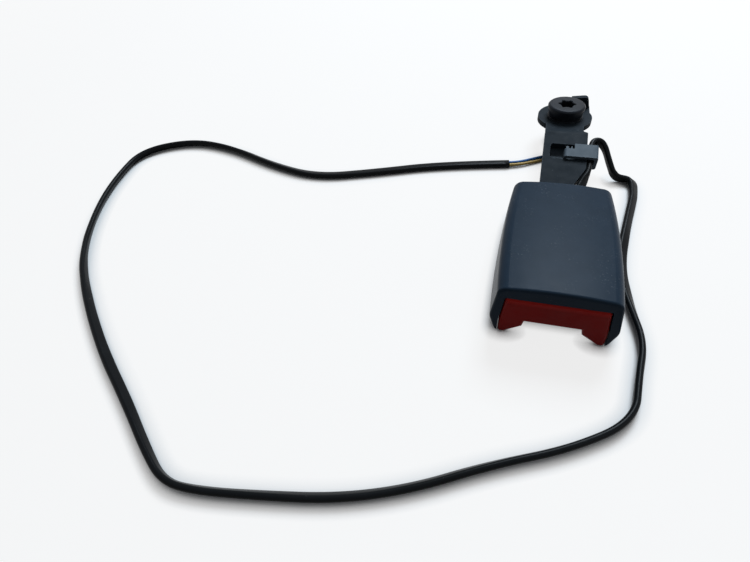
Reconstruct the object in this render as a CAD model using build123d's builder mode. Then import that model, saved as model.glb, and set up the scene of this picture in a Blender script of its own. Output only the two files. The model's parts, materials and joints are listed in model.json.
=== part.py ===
import os
from math import acos, cos, pi, radians, sin, tan

from build123d import *

# Clearances; distances run back from the front face, heights up from the floor
running_gap = 0.3
slip_gap = 0.05
past = 5.0

# Walls and the steel channel that takes the tongue
cover_wall = 2.0
front_wall = 3.5
steel = 2.0
frame_bottom = cover_wall
channel_floor = frame_bottom + steel
channel_half = 11.2
frame_half = channel_half + steel
frame_start = 9.0
frame_front_rise = 10.0
frame_front_height = frame_bottom + frame_front_rise
frame_rear_rise = 7.0
frame_rear_height = frame_bottom + frame_rear_rise

# Latch hook and the window it drops into
hook_front = 22.5
hook_length = 3.5
hook_back = hook_front + hook_length
hook_half = 4.0
hook_tip = frame_bottom + 0.4
hook_lead = 1.8
window_room = 3.0
window_side = 1.0
window_half = hook_half + window_side
window_start = hook_front - window_room
window_end = hook_back + window_room

# Ejector, a fork that straddles the hook
ejector_side = 0.4
ejector_half = channel_half - ejector_side
ejector_bottom = channel_floor + running_gap
ejector_height = 4.0
ejector_top = ejector_bottom + ejector_height
ejector_front = 14.0
fork_lap = 1.0
fork_root = window_end - fork_lap
fork_bridge = 5.0
ejector_back = fork_root + fork_bridge
ejector_travel = 13.0
spring_post_radius = 0.9
spring_post_length = 3.0
coil_room = 3.0
inner_end = ejector_back + ejector_travel + spring_post_length + coil_room

# Latch, hinged behind the tongue's window
arm_clearance = 0.5
arm_bottom = ejector_top + arm_clearance
latch_clearance = 0.4
latch_bottom = arm_bottom + latch_clearance
latch_thickness = 3.0
latch_side = 0.8
latch_half = channel_half - latch_side
pivot_reach = 18.0
pivot_distance = hook_back + pivot_reach
pivot_rise = 3.8
pivot_height = latch_bottom + pivot_rise
pivot_radius = 2.0
barrel_wall = 1.4
barrel_radius = pivot_radius + barrel_wall
wing_gap = 1.1
wing_front = hook_back + wing_gap

# The frame's cheeks round the latch pin
cheek_above_pivot = 4.4
cheek_before_pivot = 8.0
cheek_behind_pivot = 6.0
cheek_ramp = 12.0
frame_peak_height = pivot_height + cheek_above_pivot
frame_peak_start = pivot_distance - cheek_before_pivot
frame_peak_end = pivot_distance + cheek_behind_pivot

# Lifting arms of the button, ramped at 45 degrees under the latch's wings
arm_outer = latch_half
arm_width = 3.9
arm_inner = arm_outer - arm_width
arm_height = 6.5
arm_top = arm_bottom + arm_height
ramp_gap = 0.5
ramp_tip = wing_front - ramp_gap

# Buckle switch beside the stalk's inner end
switch_width = 5.8
switch_right = channel_half - running_gap
switch_left = switch_right - switch_width
switch_setback = 3.3
switch_start = pivot_distance + switch_setback
switch_length = 10.7
switch_end = switch_start + switch_length
switch_height = 6.4
switch_top = channel_floor + switch_height
blade_gauge = 0.5
blade_slot = 0.7
blade_height = 3.6
blade_slack = 0.4
blade_slot_height = blade_height + blade_slack
blade_rise = 1.2
blade_foot = channel_floor + blade_rise
blade_inset = 1.5
blade_pitch = 2.3
fixed_blade_x = switch_left + blade_inset
moving_blade_x = fixed_blade_x + blade_pitch
blade_setback = 1.1
blade_start = switch_start + blade_setback
blade_nose = 0.6
blade_reach = switch_start - blade_nose
terminal_length = 2.0
terminal_end = switch_end + terminal_length
fixed_wire_rise = 2.8
moving_wire_rise = 1.0
wire_room = 6.0

# Length of the frame and of the covers round it
frame_end = terminal_end + wire_room
rear_room = 8.0
body_length = frame_end + rear_room

# Coil springs
ejector_wire = 0.6
ejector_coil_radius = 1.6
ejector_coil_turns = 6
ejector_coil_height = channel_floor + ejector_coil_radius + ejector_wire / 2
button_wire = 0.7
button_coil_radius = 2.2
button_coil_turns = 6
button_coil_outer = button_coil_radius + button_wire / 2
button_coil_offset = frame_half + button_coil_outer + slip_gap
button_coil_rise = 2.0
button_coil_height = frame_front_height + button_coil_rise
button_post_radius = 1.5
button_post_end = 8.0
latch_wire = 0.6
latch_coil_radius = 2.6
latch_coil_turns = 5
latch_coil_setback = 11.0
latch_coil_distance = pivot_distance - latch_coil_setback

# Release button, sized to clear its springs
button_travel = 6.0
skirt_wall = 1.4
skirt_depth = 14.0
skirt_inset = 0.2
skirt_gap = 1.25
coil_headroom = 3.65
button_half = button_coil_offset + button_coil_outer + skirt_gap + skirt_wall
button_side_lean = 1.4
button_top_half = button_half - button_side_lean
button_top = button_coil_height + button_coil_outer + coil_headroom + skirt_wall
button_flare_height = 8.0
button_bottom = 0.4
button_face_depth = 2.2
button_corner_radius = 1.6
button_edge_radius = 1.2
notch_side = 0.2
notch_half = channel_half - notch_side
notch_drop = 0.2
notch_top = arm_bottom - notch_drop
notch_flare = 0.6
notch_corner_drop = 3.2
leg_curve_out = 4.2
leg_curve_rise = 2.4
leg_flat_in = 2.6
leg_corner = 0.8
skirt_rise = 1.0
skirt_bottom = notch_top + skirt_rise
seat_gap = 4.0
seat_start = skirt_depth + button_travel + seat_gap
seat_depth = 2.6
seat_half = button_coil_outer + slip_gap
seat_rise = 4.0
seat_height = button_coil_height + seat_rise

# Covers, sized round the button
side_bezel = 4.0
top_bezel = 5.2
front_half_width = button_half + side_bezel
front_height = button_top + top_bezel
front_taper = 0.4
middle_half_width = front_half_width + front_taper
shoulder_taper = 1.7
shoulder_half_width = middle_half_width - shoulder_taper
rear_taper = 0.8
rear_half_width = shoulder_half_width - rear_taper
front_lean = 2.2
middle_lean = 1.6
shoulder_lean = 1.2
rear_lean = 1.5
roof_fall = 5.8
middle_distance = 30.0
shoulder_setback = 10.0
shoulder_distance = body_length - shoulder_setback
crown = 1.5
widest_height = 9.0
bottom_tuck = 3.0
base_trim = 0.1
top_edge_radius = 4.6
widest_radius = 8.0
bottom_edge_radius = 3.5
front_edge_radius = 1.2
rear_edge_radius = 1.8
split_height = 4.0
seam_width = 0.5
seam_depth = 0.35
roof_boss_radius = 4.0
roof_boss_drop = 2.6
roof_post_radius = 1.7
roof_post_length = 4.4

# Anchor bolt and its washers, along the tilted bolt axis
shoulder_radius = 7.0
shoulder_gap = 0.2
shoulder_past_plate = 0.4
head_radius = 9.8
head_taper = 1.0
head_foot_radius = head_radius - head_taper
head_height = 5.7
head_chamfer = 0.9
lobe_circle = 3.5
lobe_radius = 0.97
recess_depth = 5.2
washer_height = 1.2
washer_gauge = 0.6
washer_inner = shoulder_radius + running_gap
washer_lip = 0.6
washer_outer = head_foot_radius + washer_lip
thread_radius = 5.55
thread_chamfer = 0.9
neck_undercut = 0.65
neck_radius = thread_radius - neck_undercut
neck_length = 1.9
retainer_gap = 0.1
retainer_inner = neck_radius + retainer_gap
retainer_lip = 2.0
retainer_outer = shoulder_radius + retainer_lip
retainer_thickness = 1.6

# Anchor bracket, from inside the frame to the bolt's eye
plate = 3.0
rise_start = frame_end
rise_angle = 12.0
crest_reach = 47.0
crest_distance = body_length + crest_reach
joggle_run = 4.0
joggle_distance = crest_distance + joggle_run
eye_setback = 15.5
eye_distance = joggle_distance + eye_setback
eye_top = 16.2
eye_tilt = 5.0
rise_bend_radius = 6.0
crest_bend_radius = 1.0
joggle_bend_radius = 5.0
stalk_side_gap = 1.4
stalk_left = stalk_side_gap - channel_half
switch_clearance = 0.5
inner_right = switch_left - switch_clearance
stalk_widening = 7.0
stalk_right = inner_right + stalk_widening
diagonal_setback = 10.0
diagonal_start = body_length + diagonal_setback
diagonal_run = 14.0
diagonal_end = diagonal_start + diagonal_run
neck_half = 9.6
neck_run = 7.0
neck_end = joggle_distance + neck_run
slot_rim_left = 3.3
slot_left = stalk_left + slot_rim_left
slot_rim_right = 5.0
slot_right = stalk_right - slot_rim_right
slot_setback = 12.6
slot_distance = crest_distance - slot_setback
slot_length = 10.0
slot_corner_radius = 1.6
rivet_setback = 8.0
rivet_distance = frame_end - rivet_setback
rivet_rim_left = 2.8
rivet_rim_right = 3.2
rivet_positions = (stalk_left + rivet_rim_left, inner_right - rivet_rim_right)
rivet_radius = 2.0
rivet_head_radius = 3.6
rivet_head_height = 1.6
tab_x = 7.9
tab_gap = 1.2
tab_offset = head_radius + tab_gap
tab_angle = 4.0
tab_left = 6.4
tab_right = 5.2
tab_top_left = 5.0
tab_top_right = 3.5
tab_sink = 2.0
tab_height = 7.4
tab_fall = 0.9
tab_thickness = 2.4
tab_corner_radius = 2.2
eye_rim = 0.8
eye_radius = tab_offset + tab_thickness + eye_rim
overall_length = eye_distance + eye_radius
front_y = -overall_length / 2

# Cord, clip and conductors
cord_width = 4.8
cord_thickness = 3.0
cord_diameter = 3.8
core_diameter = 1.6
cord_inset = 2.7
cord_x = switch_right - cord_inset
cord_start_rise = 3.1
cord_wall_rise = 3.3
cord_wall_past = 4.0
cord_start = (cord_x, frame_end, channel_floor + cord_start_rise)
cord_wall_bend = (cord_x, body_length + cord_wall_past, channel_floor + cord_wall_rise)
cord_opening_gap = 0.7
rear_opening_left = stalk_left - cord_opening_gap
rear_opening_right = cord_x + cord_thickness / 2 + cord_opening_gap
rear_opening_top = cord_wall_bend[2] + cord_width / 2 + cord_opening_gap
cord_edge_gap = 0.5
clip_x = stalk_right + cord_thickness / 2 + cord_edge_gap
clip_drop = 0.65
clip_slot_gap = 0.5
clip_start = slot_distance - slot_length / 2 + clip_slot_gap
clip_lead_run = 5.2
clip_lead = clip_start - clip_lead_run
clip_length = 8.6
clip_gauge = 1.6
clip_cord_gap = 0.25
clip_slot_inset = 6.2
clip_left = slot_right - clip_slot_inset
clip_right = clip_x + cord_thickness / 2 + clip_cord_gap + clip_gauge
clip_foot = clip_drop - cord_width / 2 - clip_cord_gap - clip_gauge
clip_head = clip_drop + cord_width / 2 + clip_cord_gap + clip_gauge
clip_corner = 1.2
clip_notch_width = 4.9
clip_notch_right = clip_left + clip_notch_width
clip_notch_start = 3.4
leaf_lap = 1.0
leaf_reach = 3.0
rib_widths = (1.3, 0.6)
rib_offsets = (0.8, 3.2)
rib_drop = 0.5
free_first_run = 7.4
cord_floor = cord_diameter / 2 + slip_gap
core_floor = core_diameter / 2 + slip_gap

# Where the free cord goes after its first run: x, distance from the front, height
free_route = (
    (22.4, 121.2, 15.0),
    (25.0, 110.5, 7.6),
    (30.0, 107.0, 3.6),
    (37.7, 105.1, cord_floor),
    (35.9, 90.8, cord_floor),
    (32.1, 71.6, cord_floor),
    (31.0, 45.0, cord_floor),
    (31.1, 22.0, cord_floor),
    (35.1, 4.3, cord_floor),
    (33.2, -14.1, cord_floor),
    (30.5, -31.9, cord_floor),
    (9.5, -46.9, cord_floor),
    (-18.2, -59.3, cord_floor),
    (-42.1, -72.7, cord_floor),
    (-66.1, -81.5, cord_floor),
    (-92.2, -86.3, cord_floor),
    (-115.0, -89.7, cord_floor),
    (-128.0, -89.3, cord_floor),
    (-139.5, -80.5, cord_floor),
    (-157.9, -63.9, cord_floor),
    (-181.9, -44.1, cord_floor),
    (-207.2, -18.5, cord_floor),
    (-226.2, 5.7, cord_floor),
    (-238.6, 36.6, cord_floor),
    (-243.4, 65.5, cord_floor),
    (-242.0, 91.6, cord_floor),
    (-214.9, 106.1, cord_floor),
    (-187.0, 103.1, cord_floor),
    (-155.7, 90.9, cord_floor),
    (-128.3, 85.0, cord_floor),
    (-98.4, 93.6, cord_floor),
    (-61.6, 106.4, cord_floor),
    (-26.0, 112.9, cord_floor),
)
blue_route = (
    (-12.0, 121.0, core_floor),
    (-2.5, 126.2, core_floor),
    (6.0, 128.5, core_floor),
)
tan_route = (
    (-11.2, 118.4, core_floor),
    (-1.6, 123.4, core_floor),
    (7.0, 125.4, core_floor),
)
core_offset = 1.0
tail_first_run = 5.0
arc_share = 0.45


def facing(distance):
    return Plane(origin=(0, front_y + distance, 0), x_dir=(1, 0, 0), z_dir=(0, -1, 0))


def lengthwise(across):
    return Plane(origin=(across, front_y, 0), x_dir=(0, 1, 0), z_dir=(1, 0, 0))


def level(height):
    return Plane(origin=(0, front_y, height))


def placed(point):
    return Vector(point[0], front_y + point[1], point[2])


def arc_radii(points):
    radii = []
    for before, here, after in zip(points, points[1:], points[2:]):
        arriving = here - before
        leaving = after - here
        turn = acos(arriving.normalized().dot(leaving.normalized()))
        radii.append(arc_share * min(arriving.length, leaving.length) / tan(turn / 2))
    return radii


def span(start, end, low, high):
    with BuildLine(mode=Mode.PRIVATE) as outline:
        Polyline((start, low), (end, low), (end, high), (start, high), close=True)
    return outline.line


def roof_height(distance):
    return front_height - roof_fall * distance / body_length


def button_side(height):
    share = (height - button_flare_height) / (button_top - button_flare_height)
    return button_half - button_side_lean * share


def cover_section(distance, half_width, lean, inset, base):
    top = roof_height(distance) - inset
    half_width -= inset
    half_top = half_width - lean
    half_bottom = half_width - bottom_tuck
    with BuildSketch(facing(distance), mode=Mode.PRIVATE) as section:
        with BuildLine():
            ThreePointArc((-half_top, top), (0, top + crown), (half_top, top))
            Polyline((half_top, top), (half_width, widest_height), (half_bottom, base))
            Line((half_bottom, base), (-half_bottom, base))
            Polyline((-half_bottom, base), (-half_width, widest_height), (-half_top, top))
        make_face()
        rows = section.vertices().group_by(Axis.Y)
        fillet(rows[2], top_edge_radius - inset)
        fillet(section.vertices().group_by(Axis.Y)[0], bottom_edge_radius - inset)
        widest = section.vertices().filter_by(lambda v: abs(v.Y - widest_height) < slip_gap)
        fillet(widest, widest_radius)
    return section.sketch


def cover_sections(inset, base):
    return [
        cover_section(0, front_half_width, front_lean, inset, base),
        cover_section(middle_distance, middle_half_width, middle_lean, inset, base),
        cover_section(shoulder_distance, shoulder_half_width, shoulder_lean, inset, base),
        cover_section(body_length, rear_half_width, rear_lean, inset, base),
    ]


# The outer form that both covers are cut from, trimmed to a flat base
with BuildPart() as cover_form:
    loft(sections=cover_sections(0, -base_trim))
    fillet(cover_form.faces().sort_by(Axis.Y)[-1].edges(), rear_edge_radius)
    fillet(cover_form.faces().sort_by(Axis.Y)[0].edges(), front_edge_radius)
    split(bisect_by=Plane.XY, keep=Keep.TOP)

# Shallow groove along the line where the covers meet
with BuildPart() as seam:
    add(cover_form.part)
    split(bisect_by=Plane.XY.offset(split_height - seam_width / 2), keep=Keep.TOP)
    split(bisect_by=Plane.XY.offset(split_height + seam_width / 2), keep=Keep.BOTTOM)
    loft(sections=cover_sections(seam_depth, 0), mode=Mode.SUBTRACT)

# The hollow inside it
with BuildPart() as cover_hollow:
    loft(sections=cover_sections(cover_wall, cover_wall))
    with BuildSketch(level(0)):
        with BuildLine():
            add(span(-middle_half_width, middle_half_width, front_wall, body_length - cover_wall))
        make_face()
    extrude(amount=front_height + crown, mode=Mode.INTERSECT)

# Upper cover with the button's opening, the stalk's opening and the latch spring's boss
roof_boss_height = roof_height(latch_coil_distance) - roof_boss_drop
with BuildPart() as upper_cover:
    add(cover_form.part)
    split(bisect_by=Plane.XY.offset(split_height), keep=Keep.TOP)
    add(cover_hollow.part, mode=Mode.SUBTRACT)
    add(seam.part, mode=Mode.SUBTRACT)
    with BuildSketch(facing(front_wall + running_gap)):
        with BuildLine():
            Polyline(
                (-button_top_half - running_gap, button_top + running_gap),
                (button_top_half + running_gap, button_top + running_gap),
                (button_half + running_gap, button_flare_height),
                (button_half + running_gap, 0),
                (-button_half - running_gap, 0),
                (-button_half - running_gap, button_flare_height),
                close=True,
            )
        make_face()
    extrude(amount=front_wall + past, mode=Mode.SUBTRACT)
    with BuildSketch(facing(body_length + past)):
        with BuildLine():
            add(span(rear_opening_left, rear_opening_right, 0, rear_opening_top))
        make_face()
    extrude(amount=cover_wall + past + running_gap, mode=Mode.SUBTRACT)
    with BuildSketch(level(roof_boss_height)):
        with Locations((0, latch_coil_distance)):
            Circle(roof_boss_radius)
    extrude(amount=roof_boss_drop)
    with BuildSketch(level(roof_boss_height - roof_post_length)):
        with Locations((0, latch_coil_distance)):
            Circle(roof_post_radius)
    extrude(amount=roof_post_length)

# Lower cover, cut back under the button, with the button springs' seats
with BuildPart() as lower_cover:
    add(cover_form.part)
    split(bisect_by=Plane.XY.offset(split_height), keep=Keep.BOTTOM)
    add(cover_hollow.part, mode=Mode.SUBTRACT)
    add(seam.part, mode=Mode.SUBTRACT)
    with BuildSketch(level(0)):
        with BuildLine():
            setback = button_face_depth + button_travel + 2 * running_gap
            add(span(-button_half - running_gap, button_half + running_gap, -past, setback))
        make_face()
    extrude(amount=split_height, mode=Mode.SUBTRACT)
    for side in (-button_coil_offset, button_coil_offset):
        with BuildSketch(level(cover_wall)):
            with BuildLine():
                add(span(side - seat_half, side + seat_half, seat_start, seat_start + seat_depth))
            make_face()
        extrude(amount=seat_height - cover_wall)

# Release button: face with the tongue notch, skirt, lifting arms and spring posts
with BuildPart() as release_button:
    with BuildSketch(facing(0)) as face:
        with BuildLine():
            Polyline(
                (0, notch_top),
                (notch_half, notch_top),
                (notch_half + notch_flare, notch_top - notch_corner_drop),
                (notch_half + leg_curve_out, button_bottom + leg_curve_rise),
                (button_half - leg_flat_in, button_bottom),
                (button_half - leg_corner, button_bottom),
                (button_half, button_bottom + leg_corner),
                (button_half, button_flare_height),
                (button_top_half, button_top),
                (0, button_top),
                close=True,
            )
        make_face()
        mirror(about=Plane.YZ)
        fillet(face.vertices().group_by(Axis.Y)[-1], button_corner_radius)
    extrude(amount=-button_face_depth)
    fillet(release_button.faces().sort_by(Axis.Y)[0].outer_wire().edges(), button_edge_radius)
    with BuildSketch(facing(button_edge_radius)):
        with BuildLine():
            foot = button_side(skirt_bottom) - skirt_inset
            shoulder = button_top_half - skirt_inset
            roof = button_top - skirt_inset
            Polyline(
                (foot, skirt_bottom),
                (shoulder, roof),
                (-shoulder, roof),
                (-foot, skirt_bottom),
                (skirt_wall - foot, skirt_bottom),
                (skirt_wall - shoulder, roof - skirt_wall),
                (shoulder - skirt_wall, roof - skirt_wall),
                (foot - skirt_wall, skirt_bottom),
                close=True,
            )
        make_face()
    extrude(amount=button_edge_radius - skirt_depth)
    for arm_start in (-arm_outer, arm_inner):
        with BuildSketch(lengthwise(arm_start)):
            with BuildLine():
                ramp_top = ramp_tip - (arm_top - arm_bottom)
                Polyline(
                    (button_edge_radius, arm_bottom),
                    (ramp_tip, arm_bottom),
                    (ramp_top, arm_top),
                    (button_edge_radius, arm_top),
                    close=True,
                )
            make_face()
        extrude(amount=arm_outer - arm_inner)
    with BuildSketch(facing(button_edge_radius)):
        with Locations((-button_coil_offset, button_coil_height), (button_coil_offset, button_coil_height)):
            Circle(button_post_radius)
    extrude(amount=button_edge_radius - button_post_end)

# Steel channel that takes the tongue
with BuildPart() as frame:
    with BuildSketch(facing(frame_start)):
        with BuildLine():
            add(span(-frame_half, frame_half, frame_bottom, frame_peak_height))
        make_face()
        with BuildLine():
            add(span(-channel_half, channel_half, channel_floor, frame_peak_height))
        make_face(mode=Mode.SUBTRACT)
    extrude(amount=frame_start - frame_end)
    with BuildSketch(lengthwise(0)):
        with BuildLine():
            Polyline(
                (frame_start, frame_bottom),
                (frame_start, frame_front_height),
                (frame_peak_start - cheek_ramp, frame_front_height),
                (frame_peak_start, frame_peak_height),
                (frame_peak_end, frame_peak_height),
                (frame_end, frame_rear_height),
                (frame_end, frame_bottom),
                close=True,
            )
        make_face()
    extrude(amount=middle_half_width, both=True, mode=Mode.INTERSECT)
    with BuildSketch(level(frame_bottom)):
        with BuildLine():
            add(span(-window_half, window_half, window_start, window_end))
        make_face()
        with Locations(*[(x, rivet_distance) for x in rivet_positions]):
            Circle(rivet_radius)
    extrude(amount=steel, mode=Mode.SUBTRACT)
    with BuildSketch(lengthwise(0)):
        with Locations((pivot_distance, pivot_height)):
            Circle(pivot_radius)
    extrude(amount=middle_half_width, both=True, mode=Mode.SUBTRACT)

# Anchor bracket: the side line gives the bends, the plan gives the outline
tilt = radians(eye_tilt)
rise = radians(rise_angle)
crest_height = channel_floor + (crest_distance - rise_start) * tan(rise)
eye_under_distance = eye_distance - plate * sin(tilt)
eye_under_height = eye_top - plate * cos(tilt)
joggle_height = eye_under_height + (eye_under_distance - joggle_distance) * tan(tilt)
plate_end = overall_length + past
plate_end_height = eye_under_height - (plate_end - eye_under_distance) * tan(tilt)
eye_plane = Plane(
    origin=(0, front_y + eye_distance, eye_top), x_dir=(1, 0, 0), z_dir=(0, sin(tilt), cos(tilt))
)
slope_plane = Plane(
    origin=(0, front_y + rise_start, channel_floor),
    x_dir=(1, 0, 0),
    z_dir=(0, -sin(rise), cos(rise)),
)
turn = radians(tab_angle)
tab_plane = Plane(
    origin=(tab_x, front_y + eye_distance + tab_offset, eye_top - tab_sink),
    x_dir=(cos(turn), sin(turn), 0),
    z_dir=(sin(turn), -cos(turn), 0),
)
with BuildPart() as anchor_bracket:
    with BuildSketch(lengthwise(0)):
        with BuildLine():
            FilletPolyline(
                (inner_end, channel_floor),
                (rise_start, channel_floor),
                (crest_distance, crest_height),
                (joggle_distance, joggle_height),
                (plate_end, plate_end_height),
                radius=[rise_bend_radius, crest_bend_radius, joggle_bend_radius],
            )
            offset(amount=plate, side=Side.LEFT)
        make_face()
    extrude(amount=middle_half_width, both=True)
    with BuildSketch(level(0)):
        with BuildLine():
            Polyline(
                (stalk_left, inner_end),
                (inner_right, inner_end),
                (inner_right, diagonal_start),
                (stalk_right, diagonal_end),
                (stalk_right, crest_distance + crest_bend_radius),
                (neck_half, crest_distance + plate),
                (neck_half, neck_end),
                (-neck_half, neck_end),
                (-neck_half, crest_distance + plate),
                (stalk_left, crest_distance + crest_bend_radius),
                close=True,
            )
        make_face()
        with Locations((0, eye_distance)):
            Circle(eye_radius)
        with BuildLine():
            tab_back = eye_distance + tab_offset + tab_thickness
            add(span(0, tab_x + tab_right - slip_gap, eye_distance, tab_back))
        make_face()
    extrude(amount=front_height, mode=Mode.INTERSECT)
    with BuildSketch(tab_plane) as tab:
        with BuildLine():
            Polyline(
                (-tab_left, 0),
                (tab_right, 0),
                (tab_top_right, tab_height),
                (-tab_top_left, tab_height - tab_fall),
                close=True,
            )
        make_face()
        fillet(tab.vertices().sort_by(Axis.Y)[-1], tab_corner_radius)
    extrude(amount=-tab_thickness)
    with BuildSketch(eye_plane):
        Circle(shoulder_radius + shoulder_gap)
    extrude(amount=past, both=True, mode=Mode.SUBTRACT)
    with BuildSketch(level(channel_floor)):
        with Locations(*[(x, rivet_distance) for x in rivet_positions]):
            Circle(rivet_radius)
    extrude(amount=plate, mode=Mode.SUBTRACT)
    slot_run = (slot_distance - rise_start) / cos(rise)
    with BuildSketch(slope_plane):
        with Locations(((slot_left + slot_right) / 2, slot_run)):
            RectangleRounded(slot_right - slot_left, slot_length, slot_corner_radius)
    extrude(amount=past, mode=Mode.SUBTRACT)

# Two rivets hold the stalk on the frame
with BuildPart() as frame_rivets:
    with BuildSketch(level(frame_bottom)):
        with Locations(*[(x, rivet_distance) for x in rivet_positions]):
            Circle(rivet_radius)
    extrude(amount=steel + plate)
    with BuildSketch(level(channel_floor + plate)):
        with Locations(*[(x, rivet_distance) for x in rivet_positions]):
            Circle(rivet_head_radius)
    extrude(amount=rivet_head_height)
    chamfer(frame_rivets.edges().group_by(Axis.Z)[-1], rivet_head_height / 2)

# Latch plate with its hook, in the dropped position
with BuildPart() as latch:
    with BuildSketch(lengthwise(0)) as hook:
        with BuildLine():
            latch_top = latch_bottom + latch_thickness
            Polyline(
                (hook_front, latch_top),
                (hook_front, hook_tip + hook_lead),
                (hook_front + hook_lead, hook_tip),
                (hook_back, hook_tip),
                (hook_back, latch_bottom),
                (pivot_distance, latch_bottom),
                (pivot_distance, latch_top),
                close=True,
            )
        make_face()
    extrude(amount=hook_half, both=True)
    with BuildSketch(level(latch_bottom)):
        with BuildLine():
            add(span(-latch_half, latch_half, wing_front, pivot_distance))
        make_face()
    extrude(amount=latch_thickness)
    with BuildSketch(lengthwise(0)):
        with Locations((pivot_distance, pivot_height)):
            Circle(barrel_radius)
    extrude(amount=latch_half, both=True)
    with BuildSketch(lengthwise(0)):
        with Locations((pivot_distance, pivot_height)):
            Circle(pivot_radius + slip_gap)
    extrude(amount=latch_half, both=True, mode=Mode.SUBTRACT)

# Pin the latch turns on, flush with the frame's outer faces
with BuildPart() as latch_pin:
    with BuildSketch(lengthwise(0)):
        with Locations((pivot_distance, pivot_height)):
            Circle(pivot_radius)
    extrude(amount=frame_half, both=True)

# Ejector fork
with BuildPart() as ejector:
    with BuildSketch(level(ejector_bottom)):
        with BuildLine():
            Polyline(
                (-ejector_half, ejector_front),
                (-window_half, ejector_front),
                (-window_half, fork_root),
                (window_half, fork_root),
                (window_half, ejector_front),
                (ejector_half, ejector_front),
                (ejector_half, ejector_back),
                (-ejector_half, ejector_back),
                close=True,
            )
        make_face()
    extrude(amount=ejector_top - ejector_bottom)
    with BuildSketch(facing(ejector_back)):
        with Locations((0, ejector_coil_height)):
            Circle(spring_post_radius)
    extrude(amount=-spring_post_length)

# Ejector spring, between the fork and the stalk's inner end
with BuildPart() as ejector_spring:
    with BuildLine() as coil:
        first = ejector_back + ejector_wire
        run = inner_end - ejector_wire - first
        Helix(
            pitch=run / ejector_coil_turns,
            height=run,
            radius=ejector_coil_radius,
            center=(0, front_y + first, ejector_coil_height),
            direction=(0, 1, 0),
        )
    with BuildSketch(Plane(origin=coil.line @ 0, z_dir=coil.line % 0)):
        Rectangle(ejector_wire, ejector_wire)
    sweep(is_frenet=True)

# Button springs, one on each side, between the face and the lower cover's seats
with BuildPart() as button_springs:
    for side in (-button_coil_offset, button_coil_offset):
        with BuildLine() as coil:
            first = button_face_depth + button_wire
            run = seat_start - button_wire - first
            Helix(
                pitch=run / button_coil_turns,
                height=run,
                radius=button_coil_radius,
                center=(side, front_y + first, button_coil_height),
                direction=(0, 1, 0),
            )
        with BuildSketch(Plane(origin=coil.line @ 0, z_dir=coil.line % 0)):
            Rectangle(button_wire, button_wire)
        sweep(is_frenet=True)

# Latch spring, between the latch and the boss in the roof
with BuildPart() as latch_spring:
    with BuildLine() as coil:
        first = latch_bottom + latch_thickness + latch_wire
        run = roof_boss_height - latch_wire - first
        Helix(
            pitch=run / latch_coil_turns,
            height=run,
            radius=latch_coil_radius,
            center=(0, front_y + latch_coil_distance, first),
        )
    with BuildSketch(Plane(origin=coil.line @ 0, z_dir=coil.line % 0)):
        Rectangle(latch_wire, latch_wire)
    sweep(is_frenet=True)

# Switch housing on the frame's floor, with a slot for each blade
with BuildPart() as switch_housing:
    with BuildSketch(level(channel_floor)):
        with BuildLine():
            add(span(switch_left, switch_right, switch_start, switch_end))
        make_face()
    extrude(amount=switch_top - channel_floor)
    with BuildSketch(facing(switch_start)):
        for blade_x in (fixed_blade_x, moving_blade_x):
            with BuildLine():
                left = blade_x - blade_slot / 2
                add(span(left, left + blade_slot, blade_foot, blade_foot + blade_slot_height))
            make_face()
    extrude(amount=switch_start - switch_end, mode=Mode.SUBTRACT)

# Contact blades
blade_low = blade_foot + (blade_slot_height - blade_height) / 2
with BuildPart() as fixed_contact:
    with BuildSketch(lengthwise(fixed_blade_x)):
        with BuildLine():
            add(span(blade_start, terminal_end, blade_low, blade_low + blade_height))
        make_face()
    extrude(amount=blade_gauge / 2, both=True)
with BuildPart() as moving_contact:
    with BuildSketch(lengthwise(moving_blade_x)):
        with BuildLine():
            add(span(blade_reach, terminal_end, blade_low, blade_low + blade_height))
        make_face()
    extrude(amount=blade_gauge / 2, both=True)

# Wires from the terminals to the cord's inner end
with BuildPart() as inner_wire_blue:
    with BuildLine() as wire:
        Line(
            placed((fixed_blade_x, terminal_end + running_gap, blade_foot + fixed_wire_rise)),
            placed((cord_start[0], cord_start[1] - running_gap, blade_foot + fixed_wire_rise)),
        )
    with BuildSketch(Plane(origin=wire.line @ 0, z_dir=wire.line % 0)):
        Circle(core_diameter / 2)
    sweep()
with BuildPart() as inner_wire_tan:
    with BuildLine() as wire:
        Line(
            placed((moving_blade_x, terminal_end + running_gap, blade_foot + moving_wire_rise)),
            placed((cord_start[0], cord_start[1] - running_gap, blade_foot + moving_wire_rise)),
        )
    with BuildSketch(Plane(origin=wire.line @ 0, z_dir=wire.line % 0)):
        Circle(core_diameter / 2)
    sweep()

# Cord from the switch through the rear wall to the far side of the clip
clip_end = clip_start + clip_length * cos(rise) + running_gap


def clip_line(distance):
    height = channel_floor + (distance - rise_start) * tan(rise) + clip_drop
    return (clip_x, distance, height)


with BuildPart() as cord_held:
    with BuildLine() as held_path:
        held_points = [
            placed(p) for p in (cord_start, cord_wall_bend, clip_line(clip_lead), clip_line(clip_end))
        ]
        FilletPolyline(*held_points, radius=arc_radii(held_points))
    with BuildSketch(facing(cord_start[1])):
        with Locations((cord_start[0], cord_start[2])):
            SlotOverall(cord_width, cord_thickness, rotation=90)
    sweep(path=held_path.line)

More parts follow.
